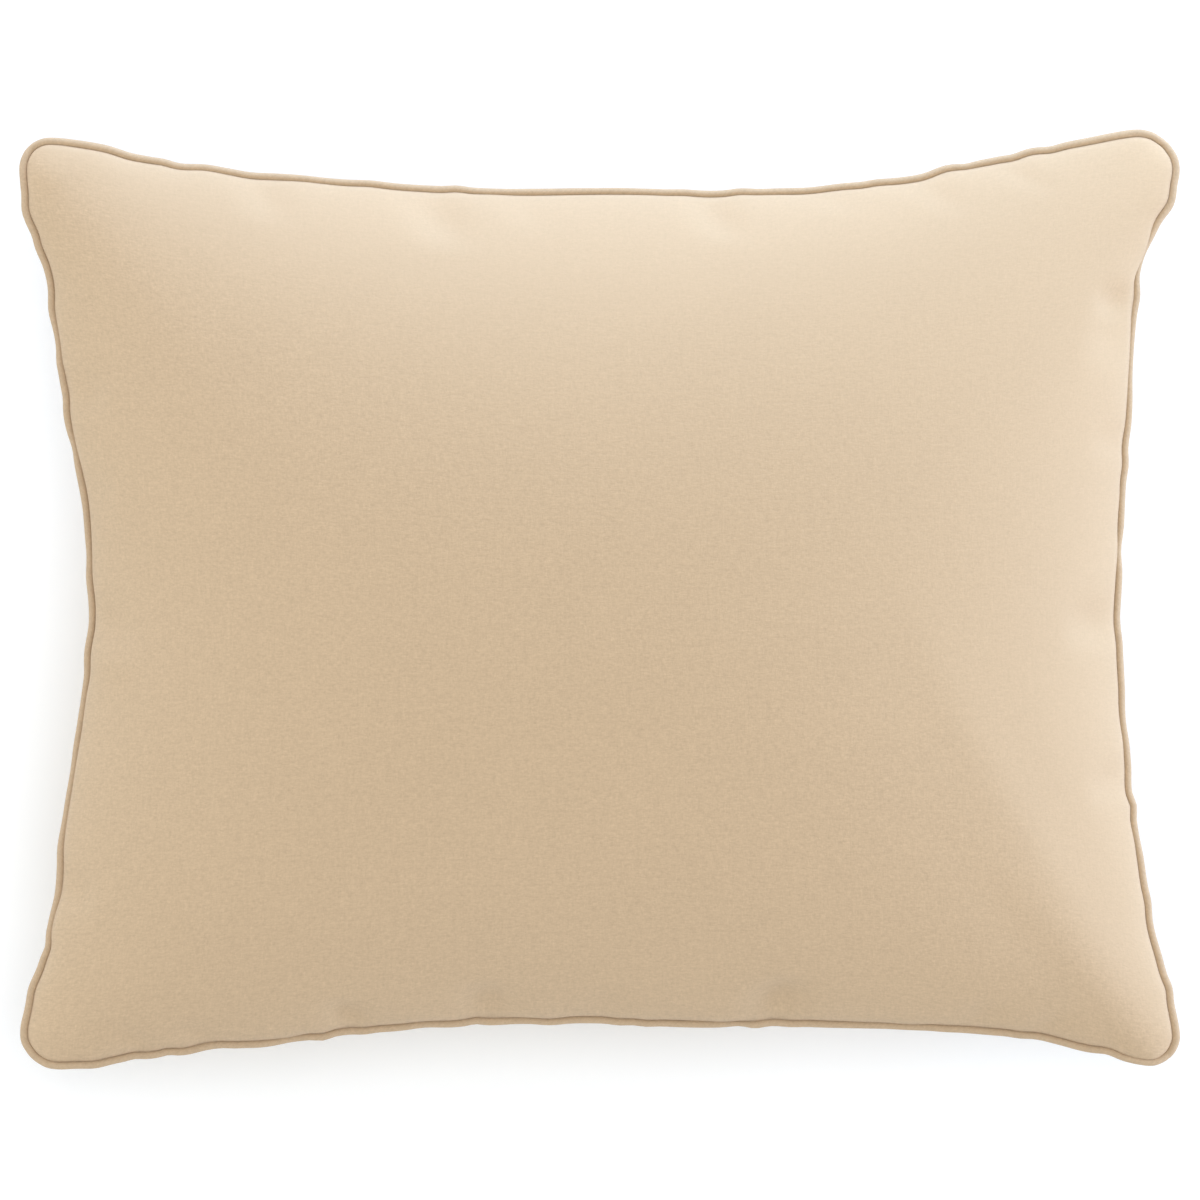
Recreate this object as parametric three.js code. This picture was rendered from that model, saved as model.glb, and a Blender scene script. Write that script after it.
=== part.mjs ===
// Back cushion for a sofa: one filled cover, crowned on both faces, with a corded welt in its seam.
// Millimetres, +Z up. The cushion lies on its back, so the face is up and its top edge is at +Y.
import * as THREE from "three";
import { mergeVertices } from "three/addons/utils/BufferGeometryUtils.js";

// Overall size, over the welt at the corners
const WIDTH = 647.6;
const HEIGHT = 524.8;

// Heights, measured from the seam
const SEAM_LEVEL = 80; // above the surface that the back rests on
const CORNER_DROOP = 12; // how much lower the seam lies at the corners
const FACE_RISE = 97;
const BACK_DEPTH = 106; // of the full crown, before the surface presses it flat
const FOOT_BLEND = 3; // half the height over which the curve runs out into the flat foot

// The welt, and the groove between the two panels that it is sewn into
const WELT_RADIUS = 2.4;
const CLEARANCE = 0.3;
const GROOVE_RADIUS = WELT_RADIUS + CLEARANCE;
const PANEL_WRAP = THREE.MathUtils.degToRad(62); // how far each panel comes round the welt

// Crown: 1 at the middle and 0 at the seam, steep at the seam and broad in the middle
const CROWN_BREADTH = 2.3;
const CROWN_FULLNESS = 0.56;

// Mesh rows. They lie closer together towards the seam and the corners.
const COLUMNS = 54;
const ROWS = 44;
const GROOVE_ROWS = 4;
const WELT_FACETS = 12;
const EDGE_CROWDING = 0.18;

// Corners: the centre and radius of each ear's round tip, to the welt's outer edge
const CORNERS = {
  bottomLeft: { x: -302.3, y: -241.2, radius: 21.1, from: 268, to: 182 },
  bottomRight: { x: 307.1, y: -243.7, radius: 16.7, from: 272, to: 358 },
  topRight: { x: 300.5, y: 239.1, radius: 23.3, from: 2, to: 88 },
  topLeft: { x: -307.1, y: 241.2, radius: 16.7, from: 178, to: 92 },
};

// Sides: how far the welt's outer edge is drawn in from the overall rectangle, place by place.
// "at" runs along the side from its middle, towards +X or +Y.
const BOTTOM_SIDE = [
  { at: -269, in: 4.2 },
  { at: -249, in: 6.7 },
  { at: -229, in: 9.2 },
  { at: -212, in: 13.0 },
  { at: -188, in: 13.3 },
  { at: -145, in: 20.0 },
  { at: -108, in: 22.8 },
  { at: -43, in: 26.6 },
  { at: -1, in: 26.9 },
  { at: 55, in: 24.5 },
  { at: 98, in: 25.6 },
  { at: 129, in: 24.4 },
  { at: 179, in: 23.2 },
  { at: 215, in: 20.3 },
  { at: 242, in: 17.7 },
  { at: 269, in: 10.8 },
];
const RIGHT_SIDE = [
  { at: -201, in: 10.2 },
  { at: -179, in: 16.4 },
  { at: -141, in: 21.9 },
  { at: -105, in: 28.5 },
  { at: -81, in: 29.6 },
  { at: -64, in: 31.9 },
  { at: -41, in: 32.6 },
  { at: -10, in: 34.8 },
  { at: 9, in: 33.6 },
  { at: 41, in: 32.5 },
  { at: 82, in: 30.6 },
  { at: 99, in: 28.3 },
  { at: 132, in: 27.8 },
  { at: 162, in: 24.9 },
  { at: 179, in: 23.4 },
  { at: 208, in: 12.2 },
];
const TOP_SIDE = [
  { at: -275, in: 9.1 },
  { at: -235, in: 19.4 },
  { at: -215, in: 20.7 },
  { at: -198, in: 24.3 },
  { at: -169, in: 26.2 },
  { at: -145, in: 28.8 },
  { at: -59, in: 34.0 },
  { at: 11, in: 33.7 },
  { at: 65, in: 35.2 },
  { at: 135, in: 31.0 },
  { at: 155, in: 28.6 },
  { at: 176, in: 26.7 },
  { at: 194, in: 20.5 },
  { at: 215, in: 17.4 },
  { at: 240, in: 11.0 },
  { at: 266, in: 6.4 },
];
const LEFT_SIDE = [
  { at: -199, in: 12.5 },
  { at: -182, in: 16.4 },
  { at: -163, in: 20.9 },
  { at: -141, in: 21.7 },
  { at: -108, in: 26.6 },
  { at: -81, in: 31.0 },
  { at: -60, in: 35.0 },
  { at: -28, in: 37.6 },
  { at: -9, in: 40.4 },
  { at: 9, in: 38.5 },
  { at: 52, in: 36.4 },
  { at: 100, in: 26.2 },
  { at: 143, in: 21.4 },
  { at: 160, in: 17.4 },
  { at: 179, in: 16.1 },
  { at: 208, in: 5.0 },
];

// Puckers: short troughs that run in from the seam where it gathers the panels. "reach" is their
// length, "slant" how far they drift along the side on the way in, for each millimetre of it,
// "sink" their depth and "width" half their breadth.
const PUCKERS = [
  { side: "top", at: -186, slant: 0.2, reach: 42, sink: 2.8, width: 13 },
  { side: "top", at: -86, slant: 0.3, reach: 55, sink: 4.6, width: 14 },
  { side: "top", at: 60, slant: 0.3, reach: 52, sink: 4.4, width: 14 },
  { side: "top", at: 178, slant: 0.6, reach: 46, sink: 3.4, width: 13 },
  { side: "top", at: 223, slant: 0.8, reach: 40, sink: 3.2, width: 12 },
  { side: "right", at: 160, slant: 0.6, reach: 46, sink: 4.6, width: 13 },
  { side: "right", at: 89, slant: -0.1, reach: 36, sink: 2.8, width: 12 },
  { side: "right", at: -11, slant: -0.1, reach: 56, sink: 5.0, width: 14 },
  { side: "right", at: -98, slant: -0.2, reach: 42, sink: 2.8, width: 12 },
  { side: "bottom", at: -250, slant: -0.8, reach: 38, sink: 2.8, width: 12 },
  { side: "bottom", at: -210, slant: -0.7, reach: 34, sink: 2.4, width: 12 },
  { side: "bottom", at: -132, slant: -0.5, reach: 36, sink: 2.8, width: 12 },
  { side: "bottom", at: -60, slant: -0.1, reach: 42, sink: 2.8, width: 13 },
  { side: "bottom", at: 97, slant: 0.1, reach: 48, sink: 4.2, width: 13 },
  { side: "bottom", at: 209, slant: 0.3, reach: 34, sink: 2.4, width: 12 },
  { side: "left", at: 117, slant: -0.2, reach: 42, sink: 2.8, width: 12 },
  { side: "left", at: 64, slant: -0.1, reach: 34, sink: 1.8, width: 12 },
  { side: "left", at: -9, slant: -0.3, reach: 56, sink: 4.8, width: 14 },
  { side: "left", at: -158, slant: -0.3, reach: 40, sink: 3.0, width: 12 },
];

const FACE_COLOR = "#d9bf9a";
const WELT_COLOR = "#d6bb95";

function materialOf(color) {
  return new THREE.MeshStandardMaterial({ color, roughness: 0.92, metalness: 0 });
}

// Points of a corner's tip on the welt's centre line, from the angle "from" to the angle "to"
function cornerPoints({ x, y, radius, from, to }) {
  const steps = 4;
  return Array.from({ length: steps + 1 }, (_, step) => {
    const angle = THREE.MathUtils.degToRad(from + ((to - from) * step) / steps);
    const reach = radius - WELT_RADIUS;
    return new THREE.Vector3(x + reach * Math.cos(angle), y + reach * Math.sin(angle), 0);
  });
}

// One side of the seam, from the middle of one corner's tip to the middle of the next
function sideCurve(startCorner, rows, endCorner, toPoint) {
  const middle = 2;
  const start = cornerPoints(startCorner);
  const end = cornerPoints(endCorner);
  const startsAtFirst = toPoint(rows[0]).distanceTo(start[0]) < toPoint(rows[0]).distanceTo(start[4]);
  const endsAtFirst = toPoint(rows.at(-1)).distanceTo(end[0]) < toPoint(rows.at(-1)).distanceTo(end[4]);
  const leaving = startsAtFirst ? start.slice(0, middle + 1).reverse() : start.slice(middle);
  const arriving = endsAtFirst ? end.slice(0, middle + 1) : end.slice(middle).reverse();
  const points = [...leaving, ...rows.map(toPoint), ...arriving];
  return new THREE.CatmullRomCurve3(points, false, "centripetal");
}

const SIDES = {
  bottom: sideCurve(CORNERS.bottomLeft, BOTTOM_SIDE, CORNERS.bottomRight, (row) =>
    new THREE.Vector3(row.at, -HEIGHT / 2 + row.in + WELT_RADIUS, 0)),
  right: sideCurve(CORNERS.bottomRight, RIGHT_SIDE, CORNERS.topRight, (row) =>
    new THREE.Vector3(WIDTH / 2 - row.in - WELT_RADIUS, row.at, 0)),
  top: sideCurve(CORNERS.topLeft, TOP_SIDE, CORNERS.topRight, (row) =>
    new THREE.Vector3(row.at, HEIGHT / 2 - row.in - WELT_RADIUS, 0)),
  left: sideCurve(CORNERS.bottomLeft, LEFT_SIDE, CORNERS.topLeft, (row) =>
    new THREE.Vector3(-WIDTH / 2 + row.in + WELT_RADIUS, row.at, 0)),
};

// Moves an even share, from -1 to 1, so that the rows crowd towards both ends
function crowded(share) {
  return share * (1 + EDGE_CROWDING * (1 - share ** 4));
}

function seamLevel(u, v) {
  return SEAM_LEVEL - CORNER_DROOP * (u * v) ** 4;
}

// The seam's stations once round, anticlockwise from the bottom left corner, and the inward
// direction at each. The cover's groove and the welt share them.
function seamStations() {
  const walks = [
    { side: "bottom", count: COLUMNS, place: (s) => [s, -1] },
    { side: "right", count: ROWS, place: (s) => [1, s] },
    { side: "top", count: COLUMNS, place: (s) => [-s, 1] },
    { side: "left", count: ROWS, place: (s) => [-1, -s] },
  ];
  const stations = walks.flatMap(({ side, count, place }) =>
    Array.from({ length: count }, (_, step) => {
      const [u, v] = place(crowded((2 * step) / count - 1));
      const along = side === "bottom" || side === "top" ? u : v;
      const point = SIDES[side].getPointAt((along + 1) / 2);
      return { point: point.setZ(seamLevel(u, v)) };
    }));
  stations.forEach((station, index) => {
    const before = stations.at(index - 1).point;
    const after = stations[(index + 1) % stations.length].point;
    const run = after.clone().sub(before);
    station.inward = new THREE.Vector3(-run.y, run.x, 0).normalize();
  });
  return stations;
}

const STATIONS = seamStations();

// The number of the seam station at a place on the rim of the grid
function stationNumber(column, row) {
  if (row === 0) return column;
  if (column === COLUMNS) return COLUMNS + row;
  if (row === ROWS) return 2 * COLUMNS + ROWS - column;
  return (2 * (COLUMNS + ROWS) - row) % STATIONS.length;
}

// A point of the groove: angle 0 is its bottom, and a positive angle goes up the front panel
function groovePoint(column, row, angle) {
  const { point, inward } = STATIONS[stationNumber(column, row)];
  const place = point.clone().addScaledVector(inward, GROOVE_RADIUS * Math.cos(angle));
  place.z += GROOVE_RADIUS * Math.sin(angle);
  return place;
}

// A smooth net between four edges: the blend of both pairs of sides, less that of the corners
function netPoint(column, row, angle) {
  const across = (crowded((2 * column) / COLUMNS - 1) + 1) / 2;
  const up = (crowded((2 * row) / ROWS - 1) + 1) / 2;
  const edge = (c, r) => groovePoint(c, r, angle);
  const between = (a, b, share) => a.clone().lerp(b, share);
  const sideways = between(edge(0, row), edge(COLUMNS, row), across);
  const upward = between(edge(column, 0), edge(column, ROWS), up);
  const low = between(edge(0, 0), edge(COLUMNS, 0), across);
  const high = between(edge(0, ROWS), edge(COLUMNS, ROWS), across);
  return sideways.add(upward).sub(between(low, high, up));
}

function crown(share) {
  return (1 - Math.abs(share) ** CROWN_BREADTH) ** CROWN_FULLNESS;
}

// How far the puckers sink the cloth at a place given by its position and its shares u and v
function puckerSink({ x, y }, u, v) {
  const fromSide = {
    top: { along: x, away: ((1 - v) * HEIGHT) / 2 },
    bottom: { along: x, away: ((1 + v) * HEIGHT) / 2 },
    right: { along: y, away: ((1 - u) * WIDTH) / 2 },
    left: { along: y, away: ((1 + u) * WIDTH) / 2 },
  };
  return PUCKERS.reduce((sum, pucker) => {
    const { along, away } = fromSide[pucker.side];
    const share = Math.min(away / pucker.reach, 1);
    const lengthwise = 6.75 * share * (1 - share) ** 2; // its peak of 1 is a third of the way in
    const line = pucker.at + pucker.slant * away;
    const crosswise = Math.exp(-(((along - line) / pucker.width) ** 2));
    return sum + pucker.sink * lengthwise * crosswise;
  }, 0);
}

// The back's drop below the seam, which runs out smoothly where the surface carries it
function pressed(drop, floorDrop) {
  const over = drop - (floorDrop - FOOT_BLEND);
  if (over <= 0) return drop;
  if (over >= 2 * FOOT_BLEND) return floorDrop;
  return drop - over ** 2 / (4 * FOOT_BLEND);
}

// Where a point of the grid lies on the filled cover
function coverPoint(column, row, level) {
  const onRim = column === 0 || column === COLUMNS || row === 0 || row === ROWS;
  if (onRim) return groovePoint(column, row, level * PANEL_WRAP);
  const place = netPoint(column, row, level * PANEL_WRAP);
  const u = crowded((2 * column) / COLUMNS - 1);
  const v = crowded((2 * row) / ROWS - 1);
  place.z = seamLevel(u, v) + GROOVE_RADIUS * Math.sin(level * PANEL_WRAP);
  const fullness = crown(u) * crown(v);
  const sink = puckerSink(place, u, v);
  if (level > 0) {
    place.z += FACE_RISE * fullness - sink;
  } else {
    place.z -= pressed(BACK_DEPTH * fullness - sink, place.z);
  }
  return place;
}

// Splits each four-cornered cell along its shorter diagonal
function splitShortWay(geometry) {
  const position = geometry.getAttribute("position");
  const corner = (index) => new THREE.Vector3().fromBufferAttribute(position, index);
  const index = Array.from(geometry.getIndex().array);
  for (let first = 0; first < index.length; first += 6) {
    const [a, b, d, , c] = index.slice(first, first + 6);
    if (corner(a).distanceTo(corner(c)) < corner(b).distanceTo(corner(d))) {
      index.splice(first, 6, a, b, c, a, c, d);
    }
  }
  geometry.setIndex(index);
}

// A closed body from a displaced geometry whose seams are joined
function closedBody(geometry) {
  geometry.deleteAttribute("uv");
  geometry.deleteAttribute("normal");
  const body = mergeVertices(geometry, 1e-3);
  body.computeVertexNormals();
  return body;
}

function coverMesh() {
  const geometry = new THREE.BoxGeometry(2, 2, 2, COLUMNS, ROWS, GROOVE_ROWS);
  const position = geometry.getAttribute("position");
  for (let index = 0; index < position.count; index += 1) {
    const column = Math.round(((position.getX(index) + 1) / 2) * COLUMNS);
    const row = Math.round(((position.getY(index) + 1) / 2) * ROWS);
    const place = coverPoint(column, row, position.getZ(index));
    position.setXYZ(index, place.x, place.y, place.z);
  }
  splitShortWay(geometry);
  const mesh = new THREE.Mesh(closedBody(geometry), materialOf(FACE_COLOR));
  mesh.name = "cushion_cover";
  return mesh;
}

// The welt: a ring of round sections on the seam's stations
function weltMesh() {
  const count = STATIONS.length;
  const geometry = new THREE.TorusGeometry(2, 1, WELT_FACETS, count);
  const position = geometry.getAttribute("position");
  for (let index = 0; index < position.count; index += 1) {
    const { point, inward } = STATIONS[index % (count + 1) % count];
    const facet = Math.floor(index / (count + 1));
    const angle = (facet / WELT_FACETS) * 2 * Math.PI;
    const place = point.clone().addScaledVector(inward, -WELT_RADIUS * Math.cos(angle));
    position.setXYZ(index, place.x, place.y, place.z + WELT_RADIUS * Math.sin(angle));
  }
  const mesh = new THREE.Mesh(closedBody(geometry), materialOf(WELT_COLOR));
  mesh.name = "welt";
  return mesh;
}

const cushion = new THREE.Group();
cushion.add(coverMesh(), weltMesh());

export default cushion;
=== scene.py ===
"""The looks of a sofa's back cushion: its filled cloth cover and its corded welt.

Metres, +Z up. The cushion lies on its back and the camera looks straight down at its face.
"""
import math

import bmesh
import bpy
import numpy as np
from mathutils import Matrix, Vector


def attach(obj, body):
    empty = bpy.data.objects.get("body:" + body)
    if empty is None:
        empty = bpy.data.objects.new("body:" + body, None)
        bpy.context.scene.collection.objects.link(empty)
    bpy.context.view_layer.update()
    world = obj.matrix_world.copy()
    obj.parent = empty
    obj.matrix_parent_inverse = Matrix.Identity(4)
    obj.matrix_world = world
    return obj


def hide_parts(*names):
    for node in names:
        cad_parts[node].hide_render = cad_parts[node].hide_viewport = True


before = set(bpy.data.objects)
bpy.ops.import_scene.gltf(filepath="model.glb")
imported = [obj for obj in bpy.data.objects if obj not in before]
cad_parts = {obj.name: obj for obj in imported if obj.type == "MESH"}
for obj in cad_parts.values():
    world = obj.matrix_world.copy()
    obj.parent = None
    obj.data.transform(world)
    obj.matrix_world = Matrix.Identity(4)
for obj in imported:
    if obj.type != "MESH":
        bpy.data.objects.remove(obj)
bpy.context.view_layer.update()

MM = 0.001

# Sizes shared with the part's source
WELT_RADIUS = 2.4 * MM
SEAM_LEVEL = 80 * MM
FACE_RISE = 97 * MM
BACK_DEPTH = 106 * MM  # of the full crown, before the floor presses it flat
CROWN_BREADTH = 2.3
CROWN_FULLNESS = 0.56

# Sizes of the scene's own cover
PANEL_WRAP = math.radians(50)  # how far each panel comes round the welt
CORNER_UNWRAP = math.radians(14)  # how much less at the corners, where more of the welt shows
UNWRAP_POWER = 4  # the higher, the closer that keeps to the corners
GROOVE_RADIUS = WELT_RADIUS + 0.15 * MM
CUT_WIDTH, CUT_HEIGHT = 635 * MM, 513 * MM  # of each panel, seam to seam, laid flat
CUT_CORNER = 17 * MM  # radius
HALF_WIDTH, HALF_HEIGHT = 322 * MM, 261 * MM  # from the middle to the corners, in round figures

# The dressed mesh: the panels are filled on a coarse grid, and then made twice as fine
COLUMNS, ROWS = 104, 84
EDGE_CROWDING = 0.18
GROOVE_ROWS = 5
WELT_FACETS = 20
SEAM_STEPS = 12  # of the seam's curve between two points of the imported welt
ARC_STEPS = 12  # of each corner of the cut, an even number
CREST_LEAN = 0.95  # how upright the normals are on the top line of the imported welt

# Gathers of the cloth, in millimetres. Each is a trough that leaves the seam at "at", measured from
# the side's middle, runs in by "reach" and drifts along by "slant" for each millimetre on the way.
# It is deepest a third of the way in, and "width" is how far it spreads to each side. Where "sink"
# is below zero, the gather is a ridge.
GATHERS = [
    {"side": "top", "at": -186, "slant": 0.2, "reach": 34, "sink": 1.8, "width": 12},
    {"side": "top", "at": -92, "slant": 0.25, "reach": 46, "sink": 3.8, "width": 15},
    {"side": "top", "at": -42, "slant": 0.2, "reach": 28, "sink": 0.8, "width": 10},
    {"side": "top", "at": 60, "slant": 0.3, "reach": 40, "sink": 2.8, "width": 12},
    {"side": "top", "at": 127, "slant": 0.4, "reach": 22, "sink": 0.9, "width": 10},
    {"side": "top", "at": 178, "slant": 0.6, "reach": 34, "sink": 1.2, "width": 10},
    {"side": "top", "at": 223, "slant": 0.9, "reach": 30, "sink": 1.0, "width": 9},
    {"side": "right", "at": 165, "slant": 0.0, "reach": 36, "sink": 4.2, "width": 8},
    {"side": "right", "at": 148, "slant": -0.1, "reach": 40, "sink": 2.6, "width": 16},
    {"side": "right", "at": 89, "slant": -0.1, "reach": 28, "sink": 1.4, "width": 9},
    {"side": "right", "at": -11, "slant": -0.1, "reach": 46, "sink": 3.4, "width": 12},
    {"side": "right", "at": -98, "slant": -0.2, "reach": 34, "sink": 1.8, "width": 10},
    {"side": "right", "at": -262, "slant": 1.22, "reach": 160, "sink": -1.0, "width": 22},
    {"side": "right", "at": -256, "slant": 1.6, "reach": 165, "sink": -2.0, "width": 38},
    {"side": "bottom", "at": -252, "slant": -0.8, "reach": 24, "sink": 2.6, "width": 8},
    {"side": "bottom", "at": -218, "slant": -0.7, "reach": 20, "sink": 2.2, "width": 8},
    {"side": "bottom", "at": -135, "slant": -0.4, "reach": 24, "sink": 4.8, "width": 9},
    {"side": "bottom", "at": -60, "slant": -0.1, "reach": 30, "sink": 5.2, "width": 12},
    {"side": "bottom", "at": 2, "slant": 0.0, "reach": 24, "sink": 1.2, "width": 10},
    {"side": "bottom", "at": 98, "slant": 0.1, "reach": 34, "sink": 6.8, "width": 13},
    {"side": "bottom", "at": 209, "slant": 0.3, "reach": 26, "sink": 1.8, "width": 11},
    {"side": "bottom", "at": 246, "slant": 0.5, "reach": 24, "sink": 1.6, "width": 9},
    {"side": "left", "at": 119, "slant": -0.2, "reach": 34, "sink": 3.4, "width": 9},
    {"side": "left", "at": 64, "slant": -0.1, "reach": 28, "sink": 1.8, "width": 12},
    {"side": "left", "at": -9, "slant": -0.3, "reach": 46, "sink": 2.8, "width": 12},
    {"side": "left", "at": -27, "slant": -0.3, "reach": 46, "sink": -2.2, "width": 11},
    {"side": "left", "at": 236, "slant": 0.0, "reach": 30, "sink": -1.5, "width": 12},
    {"side": "left", "at": 250, "slant": -1.3, "reach": 140, "sink": -0.4, "width": 34},
    {"side": "left", "at": -156, "slant": -0.3, "reach": 32, "sink": 3.4, "width": 10},
]

# The seam's small waves, in millimetres. Within about "width" of "at", the seam lies further out by
# "out", and the front panel comes further round the welt by "cover" degrees, where the filling
# pushes the cloth out over it.
SEAM_WAVES = [
    {"side": "right", "at": 0, "width": 400, "out": 0.25, "cover": 0},
    {"side": "top", "at": -262, "width": 9, "out": -1.1, "cover": 0},
    {"side": "top", "at": -243, "width": 5, "out": 0.7, "cover": 0},
    {"side": "top", "at": -222, "width": 20, "out": 0, "cover": 11},
    {"side": "top", "at": -156, "width": 16, "out": 0, "cover": 10},
    {"side": "top", "at": -128, "width": 10, "out": 0.8, "cover": 0},
    {"side": "top", "at": -79, "width": 6, "out": 0.9, "cover": 0},
    {"side": "top", "at": -60, "width": 10, "out": 0, "cover": 10},
    {"side": "top", "at": 30, "width": 14, "out": 0, "cover": 7},
    {"side": "top", "at": 47, "width": 8, "out": 0.6, "cover": 0},
    {"side": "top", "at": 78, "width": 7, "out": 0.9, "cover": 0},
    {"side": "top", "at": 90, "width": 12, "out": 0, "cover": 8},
    {"side": "top", "at": 115, "width": 13, "out": -0.8, "cover": 0},
    {"side": "top", "at": 146, "width": 6, "out": -0.5, "cover": 0},
    {"side": "top", "at": 204, "width": 6, "out": -0.9, "cover": 10},
    {"side": "top", "at": 230, "width": 6, "out": -1.0, "cover": 0},
    {"side": "top", "at": 251, "width": 7, "out": -1.1, "cover": 0},
    {"side": "right", "at": 222, "width": 8, "out": 2.8, "cover": 0},
    {"side": "right", "at": 192, "width": 12, "out": -1.4, "cover": 84},
    {"side": "right", "at": 170, "width": 8, "out": 1.2, "cover": 0},
    {"side": "right", "at": 134, "width": 26, "out": 0.3, "cover": 40},
    {"side": "right", "at": 75, "width": 7, "out": 1.2, "cover": 0},
    {"side": "right", "at": 58, "width": 10, "out": 0, "cover": 14},
    {"side": "right", "at": 27, "width": 9, "out": -1.2, "cover": 40},
    {"side": "right", "at": -24, "width": 8, "out": 0.6, "cover": 0},
    {"side": "right", "at": -51, "width": 6, "out": 0.4, "cover": 0},
    {"side": "right", "at": -75, "width": 12, "out": 0, "cover": 12},
    {"side": "right", "at": -94, "width": 7, "out": 0.7, "cover": 0},
    {"side": "right", "at": -115, "width": 5, "out": 1.7, "cover": 0},
    {"side": "right", "at": -133, "width": 7, "out": -0.4, "cover": 15},
    {"side": "right", "at": -169, "width": 8, "out": 1.1, "cover": 0},
    {"side": "right", "at": -217, "width": 6, "out": 1.3, "cover": 0},
    {"side": "bottom", "at": -281, "width": 9, "out": 1.4, "cover": 0},
    {"side": "bottom", "at": -259, "width": 5, "out": -0.9, "cover": 0},
    {"side": "bottom", "at": -240, "width": 5, "out": -1.0, "cover": 0},
    {"side": "bottom", "at": -203, "width": 5, "out": 0.6, "cover": 0},
    {"side": "bottom", "at": -173, "width": 8, "out": -0.6, "cover": 26},
    {"side": "bottom", "at": -154, "width": 5, "out": 1.5, "cover": 0},
    {"side": "bottom", "at": -131, "width": 5, "out": 0.7, "cover": 0},
    {"side": "bottom", "at": -97, "width": 10, "out": -0.9, "cover": 8},
    {"side": "bottom", "at": -69, "width": 5, "out": -1.1, "cover": 0},
    {"side": "bottom", "at": -36, "width": 10, "out": 0, "cover": 10},
    {"side": "bottom", "at": -27, "width": 9, "out": 1.2, "cover": 0},
    {"side": "bottom", "at": 11, "width": 6, "out": 0.7, "cover": 0},
    {"side": "bottom", "at": 26, "width": 6, "out": 0.8, "cover": 0},
    {"side": "bottom", "at": 69, "width": 9, "out": 0, "cover": 22},
    {"side": "bottom", "at": 86, "width": 7, "out": 1.1, "cover": 0},
    {"side": "bottom", "at": 106, "width": 7, "out": 0.7, "cover": 0},
    {"side": "bottom", "at": 150, "width": 12, "out": 0, "cover": 10},
    {"side": "bottom", "at": 172, "width": 12, "out": 0.5, "cover": 18},
    {"side": "bottom", "at": 192, "width": 8, "out": 0.4, "cover": 0},
    {"side": "bottom", "at": 234, "width": 6, "out": 0.7, "cover": 0},
    {"side": "bottom", "at": 283, "width": 7, "out": -1.5, "cover": 0},
    {"side": "left", "at": 217, "width": 6, "out": 1.2, "cover": 0},
    {"side": "left", "at": 203, "width": 5, "out": -0.9, "cover": 0},
    {"side": "left", "at": 144, "width": 13, "out": 0, "cover": 28},
    {"side": "left", "at": 132, "width": 6, "out": 0.9, "cover": 0},
    {"side": "left", "at": 112, "width": 6, "out": -0.9, "cover": 0},
    {"side": "left", "at": 84, "width": 8, "out": -1.2, "cover": 30},
    {"side": "left", "at": 23, "width": 10, "out": -0.8, "cover": 16},
    {"side": "left", "at": -42, "width": 8, "out": -0.9, "cover": 0},
    {"side": "left", "at": -58, "width": 16, "out": 0, "cover": 24},
    {"side": "left", "at": -94, "width": 16, "out": -1.1, "cover": 30},
    {"side": "left", "at": -122, "width": 16, "out": -0.8, "cover": 24},
    {"side": "left", "at": -150, "width": 10, "out": -0.6, "cover": 0},
    {"side": "left", "at": -178, "width": 14, "out": 0, "cover": 30},
    {"side": "left", "at": -193, "width": 5, "out": -1.2, "cover": 0},
    {"side": "left", "at": -217, "width": 8, "out": 1.4, "cover": 0},
]

# Camera: straight above the face, with the photograph's margins
PHOTO_SIDE = 1200  # pixels
PIXELS_PER_METRE = 1800
PHOTO_MIDDLE = (599.5, 599.5)  # where the outline's middle shows
LENS, SENSOR = 120, 36  # millimetres


# The cover's grids

def crowded(share):
    """Moves even shares, from -1 to 1, so that the rows crowd towards both ends."""
    return share * (1 + EDGE_CROWDING * (1 - share**4))


class Grid:
    """A grid over one panel, indexed [row, column], with its shares both ways, from -1 to 1."""

    def __init__(self, columns, rows):
        self.sides = (columns, rows, columns, rows)
        self.around = sum(self.sides)
        self.numbers = np.arange((rows + 1) * (columns + 1)).reshape(rows + 1, columns + 1)
        self.u, self.v = np.meshgrid(
            crowded(np.linspace(-1, 1, columns + 1)), crowded(np.linspace(-1, 1, rows + 1))
        )
        # the stations' numbers along the rim, anticlockwise from the bottom left corner
        self.rim = -np.ones((rows + 1, columns + 1), int)
        self.rim[0, :] = np.arange(columns + 1)
        self.rim[:, columns] = columns + np.arange(rows + 1)
        self.rim[rows, :] = 2 * columns + rows - np.arange(columns + 1)
        self.rim[1:, 0] = self.around - np.arange(1, rows + 1)
        self.inside = self.rim < 0
        self.rim_vertices = np.zeros(self.around, int)
        self.rim_vertices[self.rim[~self.inside] % self.around] = self.numbers[~self.inside]
        self.side_names = np.repeat(["bottom", "right", "top", "left"], self.sides)
        self.away = {
            "bottom": (1 + self.v) * HALF_HEIGHT,
            "right": (1 - self.u) * HALF_WIDTH,
            "top": (1 - self.v) * HALF_HEIGHT,
            "left": (1 + self.u) * HALF_WIDTH,
        }


COARSE = Grid(COLUMNS, ROWS)
FINE = Grid(2 * COLUMNS, 2 * ROWS)


# The seam, read from the frame

def seam_crest():
    """The welt's centre line in order round the cushion, from the top line of its ring."""
    ring = bmesh.new()
    ring.from_mesh(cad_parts["welt"].data)
    bmesh.ops.remove_doubles(ring, verts=ring.verts, dist=1e-6)
    ring.normal_update()
    crest = np.array([v.co for v in ring.verts if v.normal.z > CREST_LEAN])
    ring.free()
    crest[:, 2] -= WELT_RADIUS
    return crest[np.argsort(np.arctan2(crest[:, 1], crest[:, 0]))]


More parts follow.
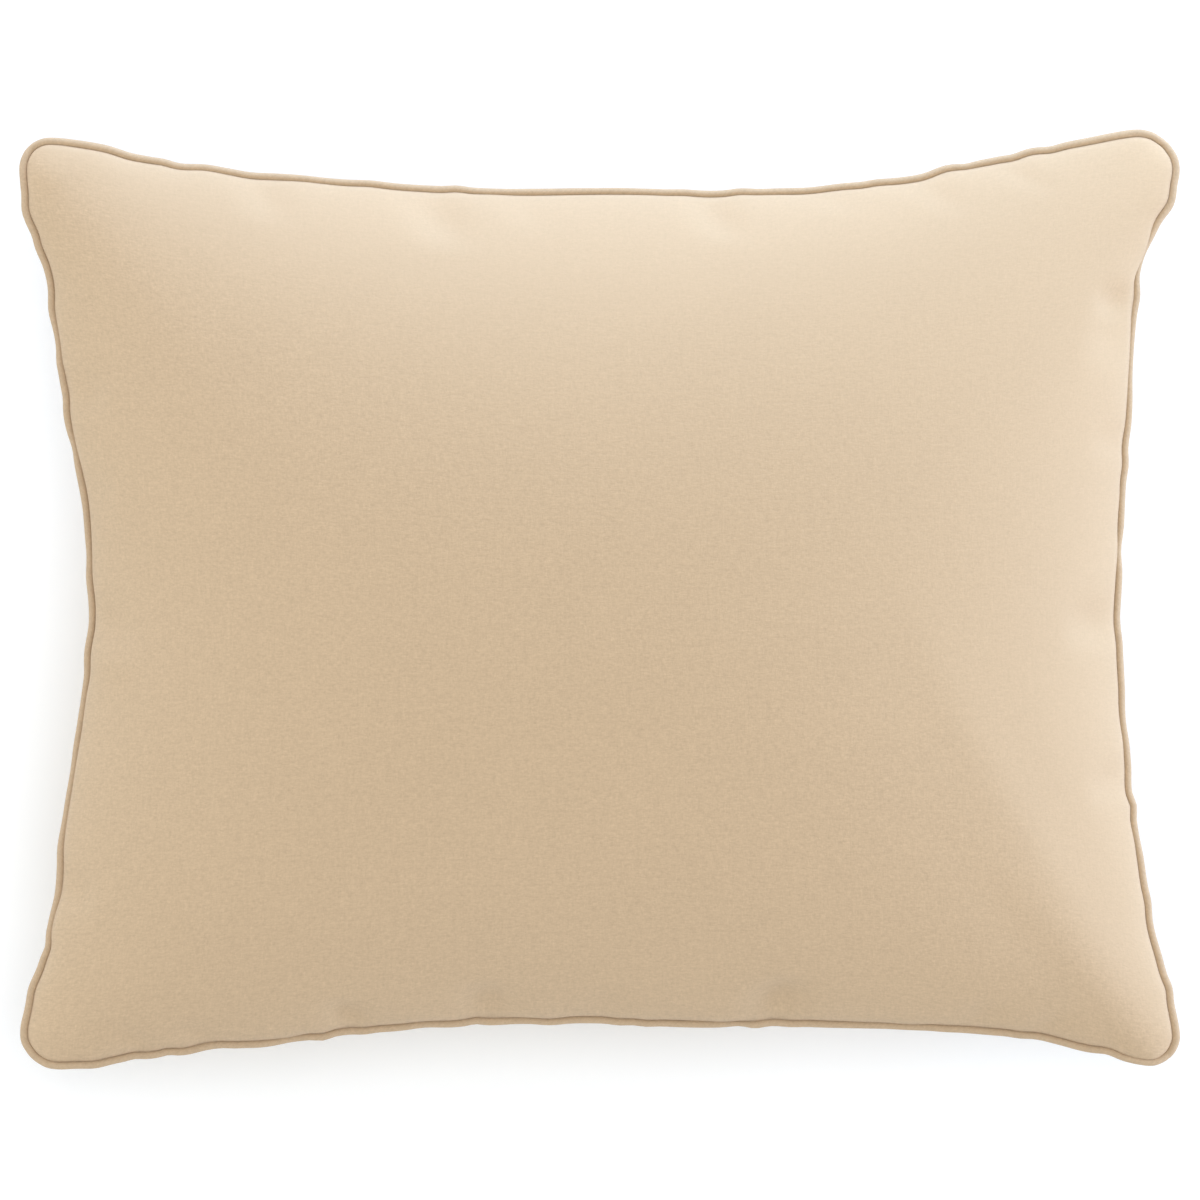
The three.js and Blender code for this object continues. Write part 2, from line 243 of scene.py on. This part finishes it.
def smooth_loop(points, steps):
    """A closed curve through the points, with that many steps between two of them."""
    before, after, beyond = (np.roll(points, shift, axis=0) for shift in (1, -1, -2))
    t = np.linspace(0, 1, steps, endpoint=False)[None, :, None]
    p0, p1, p2, p3 = (p[:, None, :] for p in (before, points, after, beyond))
    curve = 0.5 * (
        2 * p1 + (p2 - p0) * t + (2 * p0 - 5 * p1 + 4 * p2 - p3) * t**2
        + (3 * p1 - p0 - 3 * p2 + p3) * t**3
    )
    return curve.reshape(-1, 3)


def resampled(path, count):
    """Points at crowded places along a path, its first one included and its last left out."""
    steps = np.linalg.norm(np.diff(path, axis=0), axis=1)
    length = np.concatenate([[0], np.cumsum(steps)])
    places = (crowded(np.linspace(-1, 1, count + 1)[:-1]) + 1) / 2 * length[-1]
    return np.stack([np.interp(places, length, path[:, axis]) for axis in range(3)], axis=1)


def waves(grid, stations, column):
    """At each station, the sum of the waves along that side."""
    total = np.zeros(grid.around)
    for wave in SEAM_WAVES:
        along = stations[:, 0] if wave["side"] in ("top", "bottom") else stations[:, 1]
        hump = wave[column] * np.exp(-(((along / MM - wave["at"]) / wave["width"]) ** 2))
        total += np.where(grid.side_names == wave["side"], hump, 0)
    return total


def seam_stations(grid):
    """The seam's stations, anticlockwise from the tip of the bottom left corner."""
    loop = smooth_loop(seam_crest(), SEAM_STEPS)
    ways = np.array([(-1, -1), (1, -1), (1, 1), (-1, 1)])
    tips = [np.argmax(loop[:, :2] @ way) for way in ways]
    sides = []
    for start, end, count in zip(tips, tips[1:] + tips[:1], grid.sides):
        steps = (end - start) % len(loop)
        path = loop[(start + np.arange(steps + 1)) % len(loop)]
        sides.append(resampled(path, count))
    stations = np.concatenate(sides)
    return stations - inward_of(stations) * (waves(grid, stations, "out") * MM)[:, None]


def inward_of(stations):
    """The level direction from each station into the cushion."""
    run = np.roll(stations, -1, axis=0) - np.roll(stations, 1, axis=0)
    inward = np.stack([-run[:, 1], run[:, 0], np.zeros(len(run))], axis=1)
    return inward / np.linalg.norm(inward, axis=1, keepdims=True)


def cut_stations(grid):
    """The panels' cut edge, laid flat, at the same shares of each side as the seam's stations."""
    half_x, half_y, r = CUT_WIDTH / 2, CUT_HEIGHT / 2, CUT_CORNER
    arcs = []
    for way_x, way_y, first in ((-1, -1, 180), (1, -1, 270), (1, 1, 0), (-1, 1, 90)):
        angles = np.radians(np.linspace(first, first + 90, ARC_STEPS + 1))
        x = way_x * (half_x - r) + r * np.cos(angles)
        y = way_y * (half_y - r) + r * np.sin(angles)
        arcs.append(np.stack([x, y, np.zeros_like(x)], axis=1))
    middle = ARC_STEPS // 2
    sides = []
    for index, count in enumerate(grid.sides):
        path = np.concatenate([arcs[index][middle:], arcs[(index + 1) % 4][:middle + 1]])
        sides.append(resampled(path, count))
    return np.concatenate(sides)


def carried(line, away, length, depth):
    """An edge's waves carried into the panel. The shortest die out first, as in taut cloth."""
    count = len(line) - 1
    order = np.arange(1, count)
    sines = np.sin(math.pi * np.outer(np.arange(count + 1), order) / count)
    strength = 2 / count * sines.T @ line
    rate = math.pi * order / length
    near, far = np.exp(-np.outer(away, rate)), np.exp(np.outer(away - 2 * depth, rate))
    fade = (near - far) / (1 - np.exp(-2 * depth * rate))
    return np.einsum("mk,sk,kc->msc", fade, sines, strength)


def net(grid, edge):
    """A smooth net between four edges."""
    rim = grid.rim % grid.around
    across, up = ((grid.u + 1) / 2)[..., None], ((grid.v + 1) / 2)[..., None]
    low = edge[rim[0, 0]] * (1 - across) + edge[rim[0, -1]] * across
    high = edge[rim[-1, 0]] * (1 - across) + edge[rim[-1, -1]] * across
    flat = low * (1 - up) + high * up
    bent = edge[rim] - flat
    width, height = 2 * HALF_WIDTH, 2 * HALF_HEIGHT
    place = flat + carried(bent[0], grid.away["bottom"][:, 0], width, height)
    place += carried(bent[-1], grid.away["top"][:, 0], width, height)
    place += carried(bent[:, 0], grid.away["left"][0], height, width).swapaxes(0, 1)
    place += carried(bent[:, -1], grid.away["right"][0], height, width).swapaxes(0, 1)
    return place


# The cover's shape

def groove(grid, stations, share):
    """A ring of the groove that holds the welt: 0 is its bottom, 1 and -1 are the panels' rims."""
    corner = np.abs(grid.u * grid.v).ravel()[grid.rim_vertices]
    wrap = PANEL_WRAP - CORNER_UNWRAP * corner**UNWRAP_POWER
    if share > 0:
        wrap = wrap + np.radians(waves(grid, stations, "cover"))
    ring = stations + inward_of(stations) * (GROOVE_RADIUS * np.cos(wrap * share))[:, None]
    ring[:, 2] += GROOVE_RADIUS * np.sin(wrap * share)
    return ring


def crown(share):
    """How high the filling stands at shares from -1 to 1: 1 in the middle and 0 at the seam."""
    return np.maximum(1 - np.abs(share) ** CROWN_BREADTH, 0) ** CROWN_FULLNESS


def panel(grid, stations, side):
    """One panel's points before the filling swells it: side 1 is the front and -1 the back."""
    place = net(grid, groove(grid, stations, side))
    depth = FACE_RISE if side > 0 else BACK_DEPTH
    place[..., 2] += side * depth * crown(grid.u) * crown(grid.v)
    return place


def grid_faces(numbers, flip=False):
    """The quads between a grid's points, facing up, or down when flipped."""
    a, b = numbers[:-1, :-1], numbers[:-1, 1:]
    c, d = numbers[1:, 1:], numbers[1:, :-1]
    quads = np.stack([a, b, c, d], axis=-1).reshape(-1, 4)
    return quads[:, ::-1] if flip else quads


def mesh_object(name, points, faces):
    """A smooth mesh in the scene."""
    mesh = bpy.data.meshes.new(name)
    mesh.from_pydata(points.tolist(), [], faces.tolist())
    mesh.shade_smooth()
    piece = bpy.data.objects.new(name, mesh)
    bpy.context.scene.collection.objects.link(piece)
    return piece


# The filling: pressure swells the two panels, whose cloth keeps its cut size, inside a fixed seam

FILL_FRAMES = 15
FILL_LIMIT = 22 * MM  # the furthest that a point may move
TAKE_UP = 0.985  # what sewing leaves of the cut's length
EASE_ROUNDS = 40
EASE_SHARE = 0.8
TINY = 1e-9  # keeps a division from meeting zero


def set_cloth(settings, cut_shape):
    """Taut, light cloth without weight, blown up like a filled cover."""
    settings.quality = 4
    settings.mass = 0.0004
    settings.air_damping = 1.0
    settings.tension_stiffness = 12
    settings.compression_stiffness = 12
    settings.shear_stiffness = 6
    settings.bending_stiffness = 0.6
    settings.tension_damping = 8
    settings.compression_damping = 8
    settings.shear_damping = 8
    settings.bending_damping = 0.5
    settings.vertex_group_mass = "seam"
    settings.rest_shape_key = cut_shape
    settings.use_pressure = True
    settings.uniform_pressure_force = 30
    settings.effector_weights.gravity = 0


def swell(grid, front, back):
    """Both panels' points after the filling has swelled them."""
    points = np.concatenate([front.reshape(-1, 3), back.reshape(-1, 3)])
    count = grid.numbers.size
    faces = [grid_faces(grid.numbers), grid_faces(grid.numbers + count, flip=True)]
    sheet = mesh_object("sheet", points, np.concatenate(faces))
    sheet.shape_key_add(name="filled")
    cut_shape = sheet.shape_key_add(name="cut")
    flat = net(grid, cut_stations(grid)).reshape(-1, 3) * TAKE_UP
    cut_shape.data.foreach_set("co", np.concatenate([flat, flat]).ravel())
    rim = grid.rim_vertices
    pins = sheet.vertex_groups.new(name="seam")
    pins.add(np.concatenate([rim, rim + count]).tolist(), 1.0, "REPLACE")
    modifier = sheet.modifiers.new("filling", "CLOTH")
    set_cloth(modifier.settings, cut_shape)
    modifier.point_cache.frame_start, modifier.point_cache.frame_end = 1, FILL_FRAMES
    for number in range(1, FILL_FRAMES + 1):
        bpy.context.scene.frame_set(number)
    swelled = sheet.evaluated_get(bpy.context.evaluated_depsgraph_get()).data
    moved = np.zeros(points.size)
    swelled.vertices.foreach_get("co", moved)
    bpy.context.scene.frame_set(1)
    bpy.data.objects.remove(sheet)
    step = moved.reshape(-1, 3) - points
    reach = np.linalg.norm(step, axis=1, keepdims=True)
    step *= np.minimum(1, FILL_LIMIT / np.maximum(reach, TINY))
    front_step, back_step = step.reshape(2, *front.shape)
    return front + eased(grid, front_step), back + eased(grid, back_step)


def eased(grid, step):
    """The filling's moves with their small creases smoothed away."""
    share = EASE_SHARE * grid.inside[..., None]
    for _ in range(EASE_ROUNDS):
        beside = sum(np.roll(step, way, axis) for way in (1, -1) for axis in (0, 1)) / 4
        step = step + (beside - step) * share
    return step


def doubled(values):
    """Twice as many steps along the first axis, on a smooth curve through the old points."""
    before = np.concatenate([2 * values[:1] - values[1:2], values[:-2]])
    after = np.concatenate([values[2:], 2 * values[-1:] - values[-2:-1]])
    result = np.empty((2 * len(values) - 1, *values.shape[1:]))
    result[::2] = values
    result[1::2] = (9 * (values[:-1] + values[1:]) - before - after) / 16
    return result


def made_fine(points, ring):
    """A panel's points on the fine grid, its rim laid exactly on the groove's ring."""
    fine = doubled(doubled(points).swapaxes(0, 1)).swapaxes(0, 1)
    fine[~FINE.inside] = ring[FINE.rim[~FINE.inside] % FINE.around]
    return fine


def outward_of(points, side):
    """The outward normal at each point of a panel."""
    normal = side * np.cross(np.gradient(points, axis=1), np.gradient(points, axis=0))
    return normal / np.linalg.norm(normal, axis=2, keepdims=True)


def gathered(points, side):
    """A panel's points with the gathers pressed into them, square to the cloth."""
    x, y = points[..., 0] / MM, points[..., 1] / MM
    sink = np.zeros_like(x)
    for g in GATHERS:
        along = x if g["side"] in ("top", "bottom") else y
        away = FINE.away[g["side"]] / MM
        share = np.minimum(away / g["reach"], 1)
        lengthwise = 27 / 4 * share * (1 - share) ** 2  # 1 at its deepest
        line = g["at"] + g["slant"] * away
        crosswise = np.exp(-(((along - line) / g["width"]) ** 2))
        sink += g["sink"] * MM * lengthwise * crosswise
    return points - outward_of(points, side) * sink[..., None]


FOOT_BLEND = 14 * MM  # half the height of the foot's edge, which is softer than in the part


def resting(points):
    """The points with the back pressed flat where it rests, and a soft edge round that foot."""
    height = points[:, 2]
    near = (np.clip(height, -FOOT_BLEND, FOOT_BLEND) + FOOT_BLEND) ** 2 / (4 * FOOT_BLEND)
    points[:, 2] = np.where(height > FOOT_BLEND, height, near)
    return points


# Painted highlight: cloth that leans to the bright side, towards the top right, gets weaker thread
# tones, as if a strong light washed them out. The weave itself doesn't change there.
BRIGHT_WAY = np.array([0.64, 0.77, 0])
HIGHLIGHT_LEAN = 0.4  # how far cloth leans that way where the painted highlight is strongest
RUBBED_POWER = 8  # the higher, the closer the cover's rubbed places keep to its corners


def make_cover(stations):
    """The cover: its front grid, its back grid, and the groove's rings between them."""
    coarse = seam_stations(COARSE)
    front, back = panel(COARSE, coarse, 1), panel(COARSE, coarse, -1)
    front, back = swell(COARSE, front, back)
    front = gathered(made_fine(front, groove(FINE, stations, 1)), 1)
    back = gathered(made_fine(back, groove(FINE, stations, -1)), -1)
    rings = [groove(FINE, stations, 1 - 2 * step / GROOVE_ROWS) for step in range(1, GROOVE_ROWS)]
    points = np.concatenate([front.reshape(-1, 3), back.reshape(-1, 3), *rings])
    faces = cover_faces()
    cover = mesh_object("cushion", resting(points), np.concatenate(faces))
    mark_cover(cover, front, back)
    lay_cloth(cover, cover_places(stations, faces), COVER_SHEET)
    return cover


def cover_faces():
    """The faces of the front, of the back, and of the groove's rings from the front to the back."""
    count, around = FINE.numbers.size, FINE.around
    loops = [FINE.rim_vertices]
    loops += [2 * count + step * around + np.arange(around) for step in range(GROOVE_ROWS - 1)]
    loops.append(FINE.rim_vertices + count)
    faces = [grid_faces(FINE.numbers), grid_faces(FINE.numbers + count, flip=True)]
    for upper, lower in zip(loops, loops[1:]):
        faces.append(np.stack([lower, np.roll(lower, -1), np.roll(upper, -1), upper], axis=1))
    return faces


def mark_cover(cover, front, back):
    """Paints a highlight that calms the threads where the cloth leans to the bright side, and rubs
    the corners.
    """
    in_groove = (GROOVE_ROWS - 1) * FINE.around
    lean = np.concatenate([outward_of(front, 1), outward_of(back, -1)]) @ BRIGHT_WAY
    # painted highlight: how far the cloth leans to the bright side, where its threads' tone is
    # weakened
    mark(cover, "painted_highlight", np.pad(np.clip(lean.ravel() / HIGHLIGHT_LEAN, 0, 1), (0, in_groove)))
    corners = np.abs(FINE.u * FINE.v).ravel() ** RUBBED_POWER
    mark(cover, "rubbed", np.pad(np.tile(corners, 2), (0, in_groove)))


def mark(piece, name, amount):
    """Writes down how rubbed each point is, or how strong its painted highlight, from 0 to 1."""
    layer = piece.data.attributes.new(name, "FLOAT", "POINT")
    layer.data.foreach_set("value", amount)


# How the cloth lies: each face's corners on the flat cut, in metres

CUT_GAP = 4 * MM  # between the front, the back and the groove's rings
RING_WIDTH = 1 * MM
RING_PITCH = 8 * MM  # from one side's rings to the next side's
BAKE_MARGIN = 5 * MM
WELT_PITCH = 120 * MM
COVER_SHEET, WELT_SHEET = 1.05, 0.65  # the side of a square of cloth that holds each one's cut


def cover_places(stations, faces):
    """The cover's cut: the front, the back beyond its top edge, and the groove's rings beside."""
    flat = net(FINE, cut_stations(FINE)).reshape(-1, 3)[:, :2] + (CUT_WIDTH / 2, CUT_HEIGHT / 2)
    behind = flat * (-1, 1) + (CUT_WIDTH, CUT_HEIGHT + CUT_GAP)
    places = [flat[faces[0]], behind[faces[1] - FINE.numbers.size]]
    for step in range(GROOVE_ROWS):
        left = CUT_WIDTH + CUT_GAP + step * RING_WIDTH
        places.append(strip_places(stations, left, left + RING_WIDTH, RING_PITCH))
    return np.concatenate(places)


def strip_places(stations, left, right, pitch):
    """A row of faces along the seam, cut at the corners, each side a strip beside the last."""
    steps = np.linalg.norm(np.roll(stations, -1, axis=0) - stations, axis=1)
    begin = np.concatenate([[0], np.cumsum(steps)[:-1]])
    first = np.concatenate([[0], np.cumsum(FINE.sides)[:-1]])
    side = np.repeat(np.arange(4), FINE.sides)
    begin = begin - begin[first][side]
    end = begin + steps
    left, right = left + side * pitch, right + side * pitch
    corners = [(right, begin), (right, end), (left, end), (left, begin)]
    return np.stack([np.stack(corner, axis=1) for corner in corners], axis=1)


def lay_cloth(piece, places, sheet):
    """Two maps: "cloth" in metres, which the weave follows, and the same in a square for baking."""
    mesh = piece.data
    for name, spread in (("cloth", places), ("OFBake", (places + BAKE_MARGIN) / sheet)):
        layer = mesh.uv_layers.new(name=name)
        layer.uv.foreach_set("vector", spread.ravel())


# The welt

# Each swell is a share of its radius. Places and widths are in millimetres.
LAP = [{"at": 87, "width": 5, "swell": 0.10}, {"at": 78, "width": 6, "swell": -0.22}]
RIPPLES = [{"count": 31, "start": 0, "swell": 0.02}, {"count": 74, "start": 1, "swell": 0.015}]
EAR_X, EAR_Y = 302, 240  # the middle of each corner's round tip
EAR_REACH = 40
RUBBED_ANGLE = math.radians(50)  # how far above the outermost line the welt is rubbed most
RUBBED_SIDES = 0.35  # how rubbed it is along the sides, where the corners have 1


def make_welt(stations):
    """A round tube on the seam, thinned and lapped where its two ends meet at the bottom edge."""
    inward = inward_of(stations)
    x, y = stations[:, 0] / MM, stations[:, 1] / MM
    lap = sum(part["swell"] * np.exp(-(((x - part["at"]) / part["width"]) ** 2)) for part in LAP)
    round_way = np.arctan2(y / HALF_HEIGHT, x / HALF_WIDTH)
    uneven = sum(r["swell"] * np.sin(r["count"] * round_way + r["start"]) for r in RIPPLES)
    radius = WELT_RADIUS * (1 + uneven + np.where(y < 0, lap, 0))
    angles = np.linspace(0, 2 * math.pi, WELT_FACETS, endpoint=False)
    rings = []
    for angle in angles:
        ring = stations - inward * (radius * math.cos(angle))[:, None]
        ring[:, 2] += radius * math.sin(angle)
        rings.append(ring)
    numbers = np.arange(WELT_FACETS * FINE.around).reshape(WELT_FACETS, FINE.around)
    closed = np.pad(numbers, ((0, 1), (0, 1)), mode="wrap")
    welt = mesh_object("welt_cord", np.concatenate(rings), grid_faces(closed))

    width = 2 * math.pi * WELT_RADIUS
    places = []
    for facet in range(WELT_FACETS):
        left, right = (width * (1 - (facet + step) / WELT_FACETS) for step in (1, 0))
        places.append(strip_places(stations, left, right, WELT_PITCH))
    lay_cloth(welt, np.concatenate(places), WELT_SHEET)
    corner = np.exp(-((np.hypot(np.abs(x) - EAR_X, np.abs(y) - EAR_Y) / EAR_REACH) ** 2))
    facing = np.maximum(np.cos(angles - RUBBED_ANGLE), 0) ** 2
    rubbed = RUBBED_SIDES + (1 - RUBBED_SIDES) * corner
    mark(welt, "rubbed", (facing[:, None] * rubbed).ravel())
    return welt


# Materials

NOISE_DETAIL, NOISE_ROUGHNESS = 2, 0.55
ACROSS, ALONG = 1.2, 0.8  # how strongly the threads show each way, 1 on average


class Material:
    """A procedural material in the making."""

    def __init__(self, name):
        self.data = bpy.data.materials.new(name)
        self.data.use_nodes = True
        self.tree = self.data.node_tree
        self.shader = self.tree.nodes["Principled BSDF"]

    def put(self, socket, value):
        """Links a socket to another one, or sets it."""
        if isinstance(value, bpy.types.NodeSocket):
            self.tree.links.new(value, socket)
        else:
            socket.default_value = value

    def add(self, kind, inputs, output=0, **settings):
        """Adds a node and returns one of its outputs."""
        node = self.tree.nodes.new(kind)
        for name, value in settings.items():
            setattr(node, name, value)
        for key, value in inputs.items():
            self.put(node.inputs[key], value)
        return node.outputs[output]

    def math(self, operation, a, b):
        """One step of arithmetic."""
        return self.add("ShaderNodeMath", {0: a, 1: b}, operation=operation)

    def noise(self, place, size_x, size_y):
        """Noise from 0 to 1 whose spots are that long both ways."""
        scale = (1 / size_x, 1 / size_y, 1)
        scaled = self.add("ShaderNodeMapping", {"Vector": place, "Scale": scale})
        inputs = {"Vector": scaled, "Scale": 1.0}
        inputs.update({"Detail": NOISE_DETAIL, "Roughness": NOISE_ROUGHNESS})
        return self.add("ShaderNodeTexNoise", inputs, noise_dimensions="2D")

    def marked(self, name):
        """What mark() wrote down under that name, or 0 where it wrote nothing."""
        return self.add("ShaderNodeAttribute", {}, output=2, attribute_name=name)

    def shade(self, value, middle, share):
        """How far a value lies from its middle, times a share."""
        return self.math("MULTIPLY", self.math("SUBTRACT", value, middle), share)

    def weave(self, place, thick, long):
        """Uneven threads both ways, stronger across the cloth, about 1 on average."""
        across = self.math("MULTIPLY", self.noise(place, long, thick), ACROSS)
        along = self.math("MULTIPLY", self.noise(place, thick, long), ALONG)
        return self.math("ADD", across, along)


# The cloth: how thick and long the spots of its threads are, and how much they change its tone
SLUB_SIZE, SLUB_TONE = (1.5 * MM, 4.8 * MM), 0.15
YARN_SIZE, YARN_TONE = (0.8 * MM, 2.2 * MM), 0.175
STREAK_SIZE, STREAK_TONE = (3.5 * MM, 22 * MM), 0.05  # whole groups of threads
DYE_SIZE, DYE_TONE = (70 * MM, 60 * MM), 0.03
HIGHLIGHT_TONE = 0.56  # the share of the threads' tone that the painted highlight takes away where it is strongest
RUBBED_TONE = 0.05
LEAST_ROUGH, SLUB_ROUGH = 0.76, 0.12
WEAVE_DEPTH = 0.06 * MM
YARN_DEPTH = 0.5  # as a share of the slubs'
COVER_COLOR = (0.545, 0.411, 0.268)
WELT_COLOR = (0.505, 0.380, 0.250)
BIAS = math.radians(45)


def cloth_material(name, color, turn):
    """Linen-like plain weave, turned on the cloth: slubs and fine threads both ways."""
    cloth = Material(name)
    laid = cloth.add("ShaderNodeUVMap", {}, uv_map="cloth")
    place = cloth.add("ShaderNodeMapping", {"Vector": laid, "Rotation": (0, 0, turn)})
    slubs = cloth.weave(place, *SLUB_SIZE)
    yarn = cloth.weave(place, *YARN_SIZE)
    streaks = cloth.weave(place, *STREAK_SIZE)
    dye = cloth.noise(place, *DYE_SIZE)
    rubbed = cloth.marked("rubbed")
    painted_highlight = cloth.marked("painted_highlight")

    tone = cloth.shade(slubs, 1.0, SLUB_TONE)
    tone = cloth.math("ADD", tone, cloth.shade(yarn, 1.0, YARN_TONE))
    tone = cloth.math("ADD", tone, cloth.shade(streaks, 1.0, STREAK_TONE))
    # painted highlight: weaker thread tones on cloth that leans to the bright side
    kept = cloth.math("SUBTRACT", 1.0, cloth.math("MULTIPLY", painted_highlight, HIGHLIGHT_TONE))
    tone = cloth.math("MULTIPLY", tone, kept)
    tone = cloth.math("ADD", tone, cloth.shade(dye, 0.5, DYE_TONE))
    tone = cloth.math("ADD", tone, cloth.math("MULTIPLY", rubbed, RUBBED_TONE))
    tone = cloth.math("ADD", tone, 1.0)
    tinted = cloth.add("ShaderNodeVectorMath", {0: color, "Scale": tone}, operation="SCALE")
    cloth.put(cloth.shader.inputs["Base Color"], tinted)

    rough = cloth.math("ADD", cloth.math("MULTIPLY", slubs, SLUB_ROUGH), LEAST_ROUGH)
    cloth.put(cloth.shader.inputs["Roughness"], rough)
    height = cloth.math("ADD", slubs, cloth.math("MULTIPLY", yarn, YARN_DEPTH))
    bump = {"Height": height, "Strength": 1.0, "Distance": WEAVE_DEPTH}
    cloth.put(cloth.shader.inputs["Normal"], cloth.add("ShaderNodeBump", bump))

    cloth.shader.inputs["Specular IOR Level"].default_value = 0.2
    cloth.shader.inputs["Sheen Weight"].default_value = 0.05
    cloth.shader.inputs["Sheen Roughness"].default_value = 0.5
    cloth.shader.inputs["Sheen Tint"].default_value = (1, 0.97, 0.93, 1)
    return cloth.data


def floor_material():
    """Matt white, with a faint light of its own that keeps the shadow as pale as on paper."""
    floor = Material("floor_paint")
    floor.shader.inputs["Base Color"].default_value = (0.96, 0.96, 0.96, 1)
    floor.shader.inputs["Roughness"].default_value = 1.0
    floor.shader.inputs["Specular IOR Level"].default_value = 0.0
    floor.shader.inputs["Emission Color"].default_value = (0.5, 0.85, 1.0, 1)
    floor.shader.inputs["Emission Strength"].default_value = 0.08
    return floor.data


# Stage

FLOOR_REACH = 4.0  # metres each way
LAMP_DISTANCE = 2.0
LAMP_AIM = Vector((0, 0, 0.13))
LOW = 4  # degrees above the cushion's level
LONG_LAMP, SQUARE_LAMP = (1.2, 0.5), (1.5, 1.5)


def make_floor():
    """A wide, level floor that only the picture needs."""
    corners = np.array([[-1, -1, 0], [1, -1, 0], [1, 1, 0], [-1, 1, 0]]) * FLOOR_REACH
    floor = mesh_object("floor", corners, np.array([[0, 1, 2, 3]]))
    floor.data.materials.append(floor_material())


def make_camera():
    """Straight above the face, as far off as it must be for the photo's scale at the seam."""
    camera = bpy.data.objects.new("camera", bpy.data.cameras.new("camera"))
    camera.data.lens = LENS
    camera.data.sensor_width = SENSOR
    view_width = PHOTO_SIDE / PIXELS_PER_METRE
    distance = view_width * LENS / SENSOR
    off_x = (PHOTO_SIDE / 2 - PHOTO_MIDDLE[0]) / PIXELS_PER_METRE
    off_y = (PHOTO_MIDDLE[1] - PHOTO_SIDE / 2) / PIXELS_PER_METRE
    camera.location = (off_x, off_y, SEAM_LEVEL + distance)
    bpy.context.scene.collection.objects.link(camera)
    bpy.context.scene.camera = camera


def softbox(name, bearing, height, size, power, color):
    """A soft lamp that faces the cushion from a bearing, from +X, and a height, in degrees."""
    lamp = bpy.data.lights.new(name, "AREA")
    lamp.shape = "RECTANGLE"
    lamp.size, lamp.size_y = size
    lamp.energy = power
    lamp.color = color
    light = bpy.data.objects.new(name, lamp)
    turn, rise = math.radians(bearing), math.radians(height)
    level = math.cos(rise)
    way = Vector((math.cos(turn) * level, math.sin(turn) * level, math.sin(rise)))
    light.location = LAMP_AIM + way * LAMP_DISTANCE
    light.rotation_euler = (-way).to_track_quat("-Z", "Y").to_euler()
    bpy.context.scene.collection.objects.link(light)


def make_lights():
    """An even, bright room, a soft lamp overhead and four low ones round the cushion.

    Their powers and colours were fitted to the tones of the photo.
    """
    world = bpy.data.worlds.new("studio")
    world.use_nodes = True
    background = world.node_tree.nodes["Background"]
    background.inputs["Color"].default_value = (1.0, 0.98, 0.965, 1)
    background.inputs["Strength"].default_value = 0.8
    bpy.context.scene.world = world
    softbox("over", 90, 90, SQUARE_LAMP, 14.5, (0.92, 0.96, 1.0))
    softbox("key", 60, LOW, LONG_LAMP, 18.6, (0.45, 0.71, 1.0))
    softbox("top", 90, LOW, LONG_LAMP, 25.8, (0.61, 0.72, 1.0))
    softbox("right", 0, LOW, LONG_LAMP, 25.8, (0.63, 0.74, 1.0))
    softbox("left", 180, LOW, LONG_LAMP, 7.8, (0.84, 0.92, 1.0))


# The whole scene

bpy.context.scene.view_settings.view_transform = "Standard"

seam = seam_stations(FINE)
cushion = make_cover(seam)
cushion.data.materials.append(cloth_material("cover_cloth", COVER_COLOR, 0))
welt = make_welt(seam)
welt.data.materials.append(cloth_material("welt_cloth", WELT_COLOR, BIAS))

for piece, node, slot in ((cushion, "cushion_cover", "cover_cloth"), (welt, "welt", "welt_cloth")):
    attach(piece, "root")
    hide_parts(node)

make_floor()
make_camera()
make_lights()
